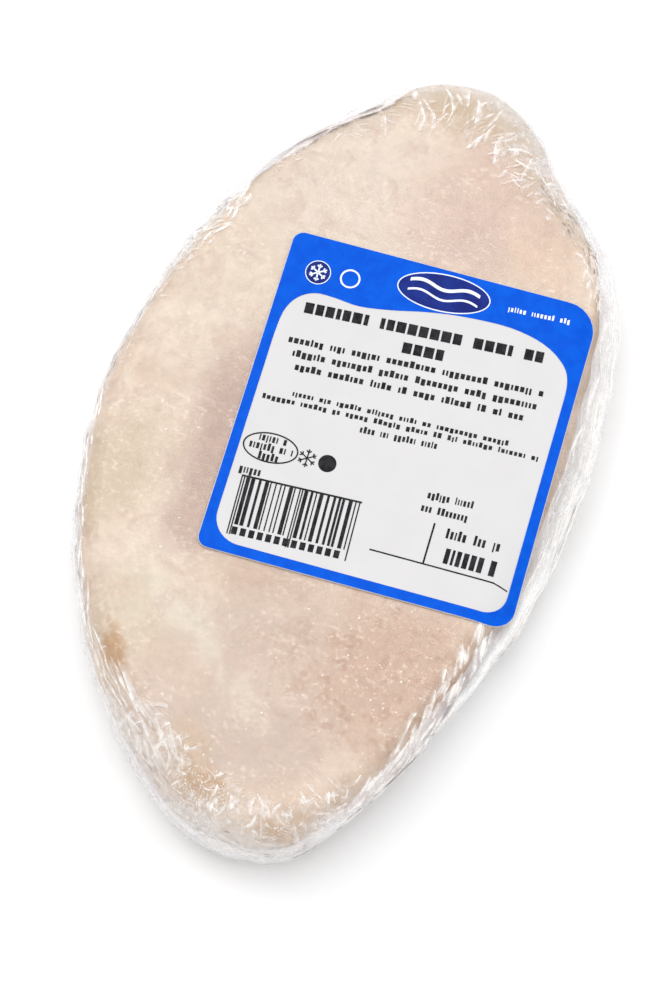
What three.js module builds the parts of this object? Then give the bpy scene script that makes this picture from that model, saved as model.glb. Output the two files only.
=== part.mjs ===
// A frozen hake steak sealed in clear film, with a stuck-on label. Millimetres, +Z up.
// The steak lies on its flat cut face. The origin is on the surface it lies on, under the middle of the
// pack, and +Y runs along the steak's length, towards the end where its top slopes down.
// The sealed pack is one solid: film and steak together, with the film's gathers as relief round its side.
import * as THREE from "three";

// Driving dimensions.
const packThickness = 18.4; // the cut faces are parallel
const faceWaves = {
  depth: 0.35, // from the highest to the lowest point of the top cut face
  across: 107, // lengths of the waves: across the steak, along it, and slanting over both
  along: 151,
  slanted: 82,
  slantedShare: 0.5, // height of the slanting waves against the others
  start: [0.6, -0.4], // where the waves across and along begin, in radians
};
const edgeRoundness = 2.3; // power of the rounding from the side to the top face: 2 is an ellipse
const columns = 252; // steps round the rim
const faceShares = [0.22, 0.46, 0.68, 0.85]; // rings on the top face, out from the middle
const shoulderSteps = 7; // from the edge of the top face out to the belly
const flankSteps = 4; // from the belly down to the foot

const gatherCount = 74; // pleats of gathered film round the side
const gatherHeight = [0.35, 1.15]; // how far a pleat stands out, least and most
const gatherWidth = [1.7, 3.6]; // half the width of a pleat at its foot, least and most
const gatherLean = 5.0; // how far a pleat's two ends are shifted along the rim, at most
const gatherScatter = 0.8; // how far a pleat strays from even spacing, as a share of it
const gatherFade = 0.7; // power of the fading towards a pleat's ends: lower is more sudden
const gatherSeed = 178;

const labelWidth = 60.0;
const labelLength = 66.0;
const labelThickness = 0.4;
const labelGap = 0.3; // between the label and the film
const labelCentre = [11.1, 7.8];
const labelTurn = 0.9; // degrees, anticlockwise from above
const labelRadiusLeft = 2.2; // the two corners at the left are nearly square
const labelRadiusRight = 6.0;
const labelSteps = 84; // points round the label's edge
const labelShares = [0.3, 0.56, 0.75, 0.87, 0.94, 1]; // rings of the label, out from its middle

// The rim, anticlockwise from +X. Each station has its direction in degrees, the reach of the film there,
// how far in the top face begins (face), how far in the foot stands (foot), and the height of the widest
// point (belly). The side overhangs where the foot is deep, and the top slopes where the face begins late.
const rim = [
  { at: 0, reach: 45.8, face: 7.5, foot: 1.8, belly: 7.0 },
  { at: 25, reach: 51.3, face: 8.0, foot: 1.8, belly: 7.0 },
  { at: 50, reach: 64.7, face: 10.4, foot: 2.4, belly: 8.0 },
  { at: 69, reach: 72.1, face: 12.0, foot: 3.4, belly: 8.5 },
  { at: 81, reach: 81.7, face: 16.9, foot: 4.2, belly: 8.0 },
  { at: 92, reach: 81.3, face: 16.6, foot: 4.4, belly: 8.0 },
  { at: 105, reach: 70.8, face: 11.0, foot: 4.2, belly: 10.0 },
  { at: 125, reach: 59.1, face: 7.7, foot: 4.0, belly: 10.0 },
  { at: 150, reach: 48.6, face: 6.6, foot: 3.6, belly: 9.5 },
  { at: 180, reach: 46.0, face: 6.8, foot: 3.2, belly: 9.0 },
  { at: 210, reach: 48.8, face: 6.6, foot: 3.0, belly: 8.5 },
  { at: 235, reach: 57.4, face: 7.2, foot: 2.8, belly: 7.5 },
  { at: 255, reach: 68.0, face: 10.0, foot: 2.4, belly: 6.5 },
  { at: 268, reach: 75.8, face: 11.4, foot: 2.2, belly: 6.0 },
  { at: 280, reach: 75.9, face: 9.0, foot: 2.8, belly: 7.0 },
  { at: 292, reach: 66.6, face: 5.2, foot: 5.2, belly: 11.5 },
  { at: 310, reach: 54.1, face: 5.4, foot: 6.4, belly: 12.0 },
  { at: 335, reach: 46.9, face: 9.0, foot: 2.6, belly: 8.0 },
];

const turn = 2 * Math.PI;
const quarter = turn / 4;
const { lerp, clamp, degToRad } = THREE.MathUtils;

// A seeded generator of numbers from 0 to 1, so that every run makes the same pleats.
function seededRandom(seed) {
  const range = 2 ** 32;
  let state = seed;
  return () => {
    state = (Math.imul(state, 1664525) + 1013904223) >>> 0;
    return state / range;
  };
}

function closedCurve(toPoint) {
  return new THREE.CatmullRomCurve3(rim.map(toPoint), true, "catmullrom");
}

// The rim's line as seen from above, and what changes along it, at the same share of the way round.
const rimLine = closedCurve(({ at, reach }) => {
  return new THREE.Vector3(reach * Math.cos(degToRad(at)), reach * Math.sin(degToRad(at)), 0);
});
const rimShape = closedCurve(({ face, foot, belly }) => new THREE.Vector3(face, foot, belly));
const rimLength = rimLine.getLength();

// One column of the pack: where it stands on the rim, which way is in, and its profile's sizes.
function rimColumn(share) {
  const point = rimLine.getPoint(share);
  const along = rimLine.getTangent(share);
  const shape = rimShape.getPoint(share);
  return {
    share,
    point,
    inward: new THREE.Vector3(-along.y, along.x, 0),
    face: shape.x,
    foot: shape.y,
    belly: shape.z,
  };
}
const rimColumns = Array.from({ length: columns }, (_, i) => rimColumn(i / columns));

// The top cut face waves a little, as a sawn frozen face under taut film does.
function faceLevel(x, y) {
  const { depth, across, along, slanted, slantedShare, start } = faceWaves;
  const crossed = Math.sin((turn * x) / across + start[0]) * Math.cos((turn * y) / along + start[1]);
  const wave = crossed + slantedShare * Math.sin((turn * (x + y)) / slanted);
  return packThickness - (depth / 2) * (1 - wave / (1 + slantedShare));
}

// Height of the pack's top, where it is `inset` in from the rim at this column.
function topHeight(column, inset, x, y) {
  const towardsRim = 1 - Math.min(inset / column.face, 1);
  const rise = (1 - towardsRim ** edgeRoundness) ** (1 / edgeRoundness);
  return lerp(column.belly, faceLevel(x, y), rise);
}

// The pleats: each is a ridge that runs down the side, from near the top face to near the foot.
const random = seededRandom(gatherSeed);
const between = ([least, most]) => lerp(least, most, random());
const gathers = Array.from({ length: gatherCount }, (_, i) => ({
  centre: (i + gatherScatter * random()) / gatherCount,
  height: between(gatherHeight),
  width: between(gatherWidth),
  lean: between([-gatherLean, gatherLean]),
}));

// How far the film stands out at a share of the rim and a share of the way down the side (0 to 1).
function gatherRelief(share, down) {
  const fade = Math.sin(Math.PI * clamp(down, 0, 1)) ** gatherFade;
  let out = 0;
  for (const { centre, height, width, lean } of gathers) {
    let away = share - centre;
    away -= Math.round(away);
    const distance = Math.abs(away * rimLength - lean * (down - 0.5));
    if (distance < width) out = Math.max(out, height * (1 - distance / width));
  }
  return out * fade;
}

// A point of the pack's side, at a step from the edge of the top face (0) down to the foot.
function sidePoint(column, step) {
  const over = Math.min(step / shoulderSteps, 1) * quarter;
  const under = Math.max((step - shoulderSteps) / flankSteps, 0) * quarter;
  const inset = column.face * (1 - Math.sin(over)) + column.foot * (1 - Math.cos(under));
  const point = column.point.clone().addScaledVector(column.inward, inset);
  point.z = topHeight(column, inset, point.x, point.y);
  if (under > 0) point.z = column.belly * (1 - Math.sin(under));
  const relief = gatherRelief(column.share, step / (shoulderSteps + flankSteps));
  return point.addScaledVector(column.inward, -relief);
}

function facePoint(column, share) {
  const edge = column.point.clone().addScaledVector(column.inward, column.face);
  const point = edge.multiplyScalar(share);
  point.z = faceLevel(point.x, point.y);
  return point;
}

// The pack as rings of points from the middle of its top face, out over the side, to its foot.
function packRings() {
  const rings = faceShares.map((share) => rimColumns.map((column) => facePoint(column, share)));
  for (let step = 0; step <= shoulderSteps + flankSteps; step++) {
    rings.push(rimColumns.map((column) => sidePoint(column, step)));
  }
  return rings;
}

// A closed surface through rings of points, capped by a point in the middle of each end.
function loft(rings, firstCap, lastCap) {
  const count = rings[0].length;
  const points = [firstCap, ...rings.flat(), lastCap];
  const last = points.length - 1;
  const at = (ring, i) => 1 + ring * count + (i % count);
  const faces = [];
  for (let i = 0; i < count; i++) {
    faces.push(0, at(0, i), at(0, i + 1));
    for (let ring = 0; ring + 1 < rings.length; ring++) {
      faces.push(at(ring, i), at(ring + 1, i), at(ring + 1, i + 1));
      faces.push(at(ring, i), at(ring + 1, i + 1), at(ring, i + 1));
    }
    faces.push(last, at(rings.length - 1, i + 1), at(rings.length - 1, i));
  }
  const geometry = new THREE.BufferGeometry().setFromPoints(points);
  geometry.setIndex(faces);
  geometry.computeVertexNormals();
  return geometry;
}

function packGeometry() {
  const top = new THREE.Vector3(0, 0, faceLevel(0, 0));
  return loft(packRings(), top, new THREE.Vector3(0, 0, 0));
}

// Height of the pack's top under a point of the label: the column whose rim is nearest sets it. The label
// is stiffer than the film, so it lies on the pleats' crests as if each one stood to its full height.
function topUnder(x, y) {
  let nearest = rimColumns[0];
  let inset = Infinity;
  for (const column of rimColumns) {
    const distance = Math.hypot(x - column.point.x, y - column.point.y);
    if (distance < inset) {
      inset = distance;
      nearest = column;
    }
  }
  return topHeight(nearest, inset + gatherHeight[1], x, y);
}

// The label's outline about its own middle, with a corner radius for each side.
function labelOutline() {
  const [w, l, rl, rr] = [labelWidth / 2, labelLength / 2, labelRadiusLeft, labelRadiusRight];
  const shape = new THREE.Shape();
  shape.moveTo(w, 0).lineTo(w, l - rr).absarc(w - rr, l - rr, rr, 0, quarter);
  shape.lineTo(-w + rl, l).absarc(-w + rl, l - rl, rl, quarter, 2 * quarter);
  shape.lineTo(-w, -l + rl).absarc(-w + rl, -l + rl, rl, 2 * quarter, 3 * quarter);
  shape.lineTo(w - rr, -l).absarc(w - rr, -l + rr, rr, 3 * quarter, turn);
  shape.closePath();
  return shape.getSpacedPoints(labelSteps).slice(0, -1); // the last point repeats the first
}

// A thin sheet that follows the top face and bends down with it at the rim.
function labelGeometry() {
  const outline = labelOutline();
  const middle = new THREE.Vector2();
  const place = (point, share, lift) => {
    const turned = point.clone().multiplyScalar(share).rotateAround(middle, degToRad(labelTurn));
    const [x, y] = [turned.x + labelCentre[0], turned.y + labelCentre[1]];
    return new THREE.Vector3(x, y, topUnder(x, y) + lift);
  };
  const sheet = (lift) => labelShares.map((share) => outline.map((point) => place(point, share, lift)));
  const upper = labelGap + labelThickness;
  const rings = [...sheet(upper), ...sheet(labelGap).reverse()];
  return loft(rings, place(middle, 0, upper), place(middle, 0, labelGap));
}

const filmOverFlesh = new THREE.MeshStandardMaterial({ color: 0xe6d3c2, roughness: 0.28, metalness: 0 });
const labelPaper = new THREE.MeshStandardMaterial({ color: 0x0a5ae0, roughness: 0.42, metalness: 0 });

function part(name, geometry, material) {
  const mesh = new THREE.Mesh(geometry, material);
  mesh.name = name;
  return mesh;
}

const hakeSteak = new THREE.Group();
hakeSteak.name = "hake_steak_pack";
hakeSteak.add(part("wrapped_steak", packGeometry(), filmOverFlesh));
hakeSteak.add(part("label", labelGeometry(), labelPaper));

// The rim's stations are laid out round a point of their own, so the pack is moved over the origin.
const middle = new THREE.Box3().setFromObject(hakeSteak).getCenter(new THREE.Vector3());
hakeSteak.position.set(-middle.x, -middle.y, 0);

export default hakeSteak;
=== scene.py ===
import math
import bpy
import numpy as np
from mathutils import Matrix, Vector, noise
from mathutils.bvhtree import BVHTree
from mathutils.geometry import delaunay_2d_cdt


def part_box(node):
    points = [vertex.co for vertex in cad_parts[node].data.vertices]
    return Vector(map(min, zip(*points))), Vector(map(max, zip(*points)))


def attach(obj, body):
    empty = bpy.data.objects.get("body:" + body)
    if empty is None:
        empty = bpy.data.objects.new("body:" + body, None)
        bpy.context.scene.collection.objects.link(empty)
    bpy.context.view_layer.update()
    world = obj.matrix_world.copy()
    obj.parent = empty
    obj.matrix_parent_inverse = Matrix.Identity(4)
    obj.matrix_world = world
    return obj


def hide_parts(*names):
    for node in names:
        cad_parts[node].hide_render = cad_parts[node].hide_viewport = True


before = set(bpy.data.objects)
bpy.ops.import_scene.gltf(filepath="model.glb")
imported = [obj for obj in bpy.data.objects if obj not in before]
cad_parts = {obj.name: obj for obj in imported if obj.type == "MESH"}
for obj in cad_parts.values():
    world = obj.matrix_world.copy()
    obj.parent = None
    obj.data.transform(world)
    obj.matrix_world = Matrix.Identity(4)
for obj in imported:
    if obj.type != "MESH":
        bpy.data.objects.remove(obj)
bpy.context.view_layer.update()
mm = 0.001
packHigh = np.array(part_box("wrapped_steak")[1]) / mm  # the box's far corner
print("frame loaded:", ", ".join(sorted(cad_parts)))

# the camera looks down on the pack, from the side of its blunt end
shot = {
    "azimuth": 17.0,  # degrees, 0 looks along +Y
    "elevation": 70.0,
    "distance": 650.0,  # mm from the target
    "target": (0.9, -6.45, 0.0),
    "scale": 5.25,  # pixels of the picture for each mm at the target
    "pictureHeight": 1000,
}

# a light tent that glows behind left and a little in front right, with two weak boxes for glints
lights = {
    "tent": 0.50,
    "glows": [
        {"azimuth": -138, "elevation": 62, "power": 3.0, "strength": 1.25},
        {"azimuth": -133, "elevation": 76, "power": 16.0, "strength": 1.7},
        {"azimuth": 35, "elevation": 14, "power": 3.0, "strength": 0.30},
    ],
    "boxes": [
        {"name": "key_box", "azimuth": -118, "elevation": 52, "distance": 900, "wide": 300, "power": 0.5},
        {"name": "side_box", "azimuth": 100, "elevation": 36, "distance": 1000, "wide": 420, "power": 1.3},
    ],
    # size in mm, and how far under the pack it lies, so that the two never share a plane
    "floor": {"colour": (0.895, 0.895, 0.895), "roughness": 0.9, "specular": 0.1, "size": 6000, "under": 0.2},
}


def towards(azimuth, elevation):
    a, e = math.radians(azimuth), math.radians(elevation)
    return Vector((math.sin(a) * math.cos(e), -math.cos(a) * math.cos(e), math.sin(e)))


def link(thing):
    bpy.context.scene.collection.objects.link(thing)
    return thing


def addCamera():
    back = towards(shot["azimuth"], shot["elevation"])
    lens = bpy.data.cameras.new("camera")
    lens.lens = shot["scale"] * shot["distance"] * lens.sensor_width / shot["pictureHeight"]
    camera = link(bpy.data.objects.new("camera", lens))
    camera.location = (Vector(shot["target"]) + back * shot["distance"]) * mm
    camera.rotation_euler = back.to_track_quat("Z", "Y").to_euler()
    bpy.context.scene.camera = camera


def addWorld():
    world = bpy.data.worlds.new("studio")
    world.use_nodes = True
    tree = world.node_tree
    background = tree.nodes["Background"]
    background.inputs["Color"].default_value = (1, 1, 1, 1)
    way = addNode(tree, "TexCoord")["Generated"]
    strength = lights["tent"]
    for glow in lights["glows"]:
        middle = tuple(towards(glow["azimuth"], glow["elevation"]))
        share = addNode(tree, "VectorMath", {0: way, 1: middle}, operation="DOT_PRODUCT")["Value"]
        share = maths(tree, "POWER", maths(tree, "MAXIMUM", share, 0.0), glow["power"])
        strength = plus(tree, times(tree, share, glow["strength"]), strength)
    tree.links.new(strength, background.inputs["Strength"])
    bpy.context.scene.world = world


def addLamps():
    for box in lights["boxes"]:
        lamp = bpy.data.lights.new(box["name"], "AREA")
        lamp.size = box["wide"] * mm
        lamp.energy = box["power"]
        holder = link(bpy.data.objects.new(box["name"], lamp))
        out = towards(box["azimuth"], box["elevation"])
        holder.location = out * box["distance"] * mm
        holder.rotation_euler = out.to_track_quat("Z", "Y").to_euler()
    bpy.context.scene.view_settings.view_transform = "Standard"


def newMaterial(name):
    material = bpy.data.materials.new(name)
    material.use_nodes = True
    return material, material.node_tree, material.node_tree.nodes["Principled BSDF"]


# sets a node's inputs from other sockets or plain values, and gives its outputs
def setInputs(tree, node, inputs):
    for name, value in inputs.items():
        if isinstance(value, bpy.types.NodeSocket):
            tree.links.new(value, node.inputs[name])
        else:
            node.inputs[name].default_value = value
    return node.outputs


def addNode(tree, kind, inputs=None, **settings):
    made = tree.nodes.new("ShaderNode" + kind)
    for name, value in settings.items():
        setattr(made, name, value)
    return setInputs(tree, made, inputs or {})


def maths(tree, operation, a, b=0.0, clamp=False):
    return addNode(tree, "Math", {0: a, 1: b}, operation=operation, use_clamp=clamp)[0]


def times(tree, a, b, clamp=False):
    return maths(tree, "MULTIPLY", a, b, clamp)


def plus(tree, a, b, clamp=False):
    return maths(tree, "ADD", a, b, clamp)


def vectorMaths(tree, operation, a, b):
    return addNode(tree, "VectorMath", {0: a, 1: b}, operation=operation)[0]


def scaled(tree, vector, factor):
    return addNode(tree, "VectorMath", {0: vector, "Scale": factor}, operation="SCALE")[0]


def attribute(tree, name, output="Fac"):
    return addNode(tree, "Attribute", attribute_name=name)[output]


def mixColours(tree, share, a, b):
    a, b = [(*c, 1) if isinstance(c, tuple) else c for c in (a, b)]
    return addNode(tree, "Mix", {0: share, 6: a, 7: b}, data_type="RGBA")[2]


def ramp(tree, value, start, end, low=0.0, high=1.0):
    inputs = {"Value": value, "From Min": start, "From Max": end, "To Min": low, "To Max": high}
    return addNode(tree, "MapRange", inputs, interpolation_type="SMOOTHSTEP")[0]


def placeInMm(tree):
    return scaled(tree, addNode(tree, "TexCoord")["Object"], 1 / mm)


def noiseAt(tree, place, size, detail=2.0, rough=0.5, warp=0.0):
    inputs = {"Vector": place, "Scale": 1 / size, "Detail": detail, "Roughness": rough, "Distortion": warp}
    return addNode(tree, "TexNoise", inputs)[0]


def bumpFrom(tree, height, strength, distance):
    return addNode(tree, "Bump", {"Height": height, "Strength": strength, "Distance": distance * mm})[0]


# a group with one output, a mask; inputs are floats or, where the value is a tuple, vectors
def newGroup(name, inputs):
    group = bpy.data.node_groups.new(name, "ShaderNodeTree")
    for label, value in inputs.items():
        kind = "NodeSocketVector" if isinstance(value, tuple) else "NodeSocketFloat"
        group.interface.new_socket(label, in_out="INPUT", socket_type=kind).default_value = value
    group.interface.new_socket("Mask", in_out="OUTPUT", socket_type="NodeSocketFloat")
    return group, group.nodes.new("NodeGroupInput").outputs, group.nodes.new("NodeGroupOutput").inputs


def groupMask(tree, group, inputs):
    return addNode(tree, "Group", inputs, node_tree=group)["Mask"]


addCamera()
addWorld()
addLamps()
print("camera and lights set")


# white flecks: cells of one size, of which a share hold a speck each
def makeFlecks():
    inputs = {"Place": (0.0, 0.0, 0.0), "Cell": 1.0, "Speck": 0.3, "Share": 0.3}
    group, given, result = newGroup("flecks", inputs)
    scale = maths(group, "DIVIDE", 1.0, given["Cell"])
    cells = addNode(group, "TexVoronoi", {"Vector": given["Place"], "Scale": scale, "Randomness": 1.0})
    near = maths(group, "LESS_THAN", cells["Distance"], given["Speck"])
    draw = addNode(group, "SeparateColor", {0: cells["Color"]})[0]
    chosen = maths(group, "LESS_THAN", draw, given["Share"])
    group.links.new(times(group, near, chosen), result["Mask"])
    return group


# thin bright lines where a stretched noise passes through its middle value
def makeStrokes():
    inputs = {"Place": (0.0, 0.0, 0.0), "Size": 1.0, "Thin": 0.03}
    group, given, result = newGroup("strokes", inputs)
    scale = maths(group, "DIVIDE", 1.0, given["Size"])
    cloud = addNode(group, "TexNoise", {"Vector": given["Place"], "Scale": scale, "Detail": 1.0})[0]
    off = maths(group, "ABSOLUTE", maths(group, "SUBTRACT", cloud, 0.5))
    share = maths(group, "DIVIDE", off, given["Thin"])
    group.links.new(maths(group, "SUBTRACT", 1.0, share, clamp=True), result["Mask"])
    return group


# a soft-edged oval field
def makeField():
    inputs = {"Place": (0.0, 0.0, 0.0), "Centre": (0.0, 0.0, 0.0), "Reach": (1.0, 1.0, 1.0), "Turn": 0.0,
              "Core": 0.2}
    group, given, result = newGroup("field", inputs)
    offset = vectorMaths(group, "SUBTRACT", given["Place"], given["Centre"])
    turned = addNode(group, "VectorRotate", {"Vector": offset, "Angle": given["Turn"]},
                     rotation_type="Z_AXIS")
    sized = vectorMaths(group, "DIVIDE", turned[0], given["Reach"])
    away = addNode(group, "VectorMath", {0: sized}, operation="LENGTH")["Value"]
    group.links.new(ramp(group, away, 1.0, given["Core"]), result["Mask"])
    return group


flecks = makeFlecks()
strokes = makeStrokes()
field = makeField()


def addPiece(name, points, faces, material, node, smooth=True):
    mesh = bpy.data.meshes.new(name)
    mesh.from_pydata((np.asarray(points) * mm).tolist(), [], faces)
    mesh.validate()
    if smooth:
        mesh.shade_smooth()
    mesh.materials.append(material)
    piece = link(bpy.data.objects.new(name, mesh))
    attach(piece, "root")
    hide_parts(node)
    return piece


def addValues(piece, name, values, kind="FLOAT"):
    layer = piece.data.attributes.new(name, kind, "POINT")
    key = "vector" if kind == "FLOAT_VECTOR" else "value"
    layer.data.foreach_set(key, np.asarray(values, np.float32).ravel())


# values for a grid of points and for the two caps that close it
def addGridValues(piece, name, values, cap=0.0):
    addValues(piece, name, np.append(values.ravel(), [cap, cap]))


def treeOf(mesh):
    corners = [v.co / mm for v in mesh.vertices]
    return BVHTree.FromPolygons(corners, [tuple(p.vertices) for p in mesh.polygons])


def smoothRound(values, width):
    # smooths rows that close on themselves; width is in rows
    turns = np.fft.rfftfreq(len(values)).reshape(-1, *[1] * (values.ndim - 1))
    kept = np.fft.rfft(values, axis=0) * np.exp(-2 * (math.pi * width * turns) ** 2)
    return np.fft.irfft(kept, len(values), axis=0)


def resample(values, count):
    # more or fewer rows for the same closed curve
    kept = np.fft.rfft(values, axis=0)
    return np.fft.irfft(kept, count, axis=0) * count / len(values)


def gridFaces(columns, rings):
    # quads between closed columns, with a fan at the first and the last ring
    faces = []
    top, bottom = columns * rings, columns * rings + 1
    for i in range(columns):
        j = (i + 1) % columns
        for k in range(rings - 1):
            a, b = i * rings + k, j * rings + k
            faces.append((a, a + 1, b + 1, b))
        faces.append((top, i * rings, j * rings))
        faces.append((bottom, j * rings + rings - 1, i * rings + rings - 1))
    return faces


# the pack's form, read from its solid
form = {
    "columns": 300,  # sections round the rim
    "rays": 97,  # directions in each section, from straight up to straight down
    # mm that the smoothed form is let out, for what its own pleats stood out, by degrees round the rim
    "swell": [(0, 0.16), (78, 0.2), (88, 0.4), (104, 0.4), (114, 0.4), (121, 0.6), (126, 0.5), (131, 0.16)],
    "inset": 10.0,  # mm from the rim in to the line that the rays start from
    "pleatWidth": 5.5,  # mm, what is smoothed out of the solid's own pleats
    "shares": [0.12, 0.26, 0.40, 0.53, 0.65, 0.75, 0.83, 0.89, 0.935, 0.97],  # rings inside that line
    # mm from the rim in to the edge of the flat top, by degrees round the rim
    "flatEdge": [(0, 4.0), (20, 4.2), (40, 4.6), (60, 6.0), (80, 10.0), (92, 9.0), (105, 6.0), (118, 3.4),
                 (134, 4.2), (150, 3.0), (180, 2.2), (228, 2.0), (240, 2.6), (247, 4.0), (253, 6.2),
                 (264, 7.5), (272, 7.4), (280, 5.0), (292, 1.5), (310, 1.0), (325, 2.4), (345, 3.4)],
}


def rimOf(tree):
    angles = np.arange(720) * math.pi / 360  # every half degree
    levels = np.linspace(0.15, 0.85, 12) * packHigh[2]
    far = 2 * packHigh[1]
    reach = []
    for angle in angles:
        out = Vector((math.cos(angle), math.sin(angle), 0))
        hits = [tree.ray_cast(out * far + Vector((0, 0, z)), -out)[0] for z in levels]
        reach.append(max(hit.xy.length for hit in hits if hit))
    return angles, np.array(reach)


# points evenly spaced round the rim, each with the direction inwards
def evenRim(angles, reach, count):
    outline = np.stack([reach * np.cos(angles), reach * np.sin(angles)], 1)
    closed = np.vstack([outline, outline[:1]])
    walked = np.concatenate([[0], np.cumsum(np.linalg.norm(np.diff(closed, axis=0), axis=1))])
    places = np.arange(count) * walked[-1] / count
    points = np.stack([np.interp(places, walked, closed[:, k]) for k in (0, 1)], 1)
    along = smoothRound(np.roll(points, -1, 0) - np.roll(points, 1, 0), 4)
    along /= np.linalg.norm(along, axis=1)[:, None]
    return points, np.stack([-along[:, 1], along[:, 0]], 1), walked[-1]


# a value for each direction, from a table of degrees and values
def stations(table, degrees):
    at, value = zip(*table)
    return np.interp(degrees, at, value, period=360)


# the same as a column, one value for each section of a grid
def column(table, degrees):
    return stations(table, degrees)[:, None]


def readPack():
    tree = treeOf(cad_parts["wrapped_steak"].data)
    angles, reach = rimOf(tree)
    points, inward, around = evenRim(angles, smoothRound(reach, 3), form["columns"])
    anchors = points + inward * form["inset"]
    level = packHigh[2] / 2
    tilts = np.linspace(math.pi / 2, -math.pi / 2, form["rays"])
    far = np.zeros((form["columns"], form["rays"]))
    for i in range(form["columns"]):
        start = Vector((*anchors[i], level))
        for k, tilt in enumerate(tilts):
            out = Vector((*(-inward[i] * math.cos(tilt)), math.sin(tilt)))
            far[i, k] = tree.ray_cast(start, out)[3]
    heights = np.zeros((form["columns"], len(form["shares"])))
    for k, share in enumerate(form["shares"]):
        for i in range(form["columns"]):
            start = Vector((*(anchors[i] * share), 2 * packHigh[2]))
            heights[i, k] = tree.ray_cast(start, Vector((0, 0, -1)))[0].z
    width = form["pleatWidth"] / (around / form["columns"]) / 2
    swell = column(form["swell"], np.degrees(np.arctan2(points[:, 1], points[:, 0])) % 360)
    return {
        "anchors": anchors,
        "inward": inward,
        "around": around,
        "level": level,
        "tilts": tilts,
        "far": smoothRound(far, width) + swell * np.cos(tilts)[None, :],
        "heights": smoothRound(heights, width),
        "middle": tree.ray_cast(Vector((0, 0, 2 * packHigh[2])), Vector((0, 0, -1)))[0].z,
    }


pack = readPack()
print("pack read: %.0f mm round the rim" % pack["around"])


# places at a distance round the rim, from directions in degrees
def roundRim(columns):
    anchors = resample(pack["anchors"], columns)
    inward = resample(pack["inward"], columns)
    inward /= np.linalg.norm(inward, axis=1)[:, None]
    rim = anchors - inward * form["inset"]
    return anchors, inward, rim, np.degrees(np.arctan2(rim[:, 1], rim[:, 0])) % 360


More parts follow.
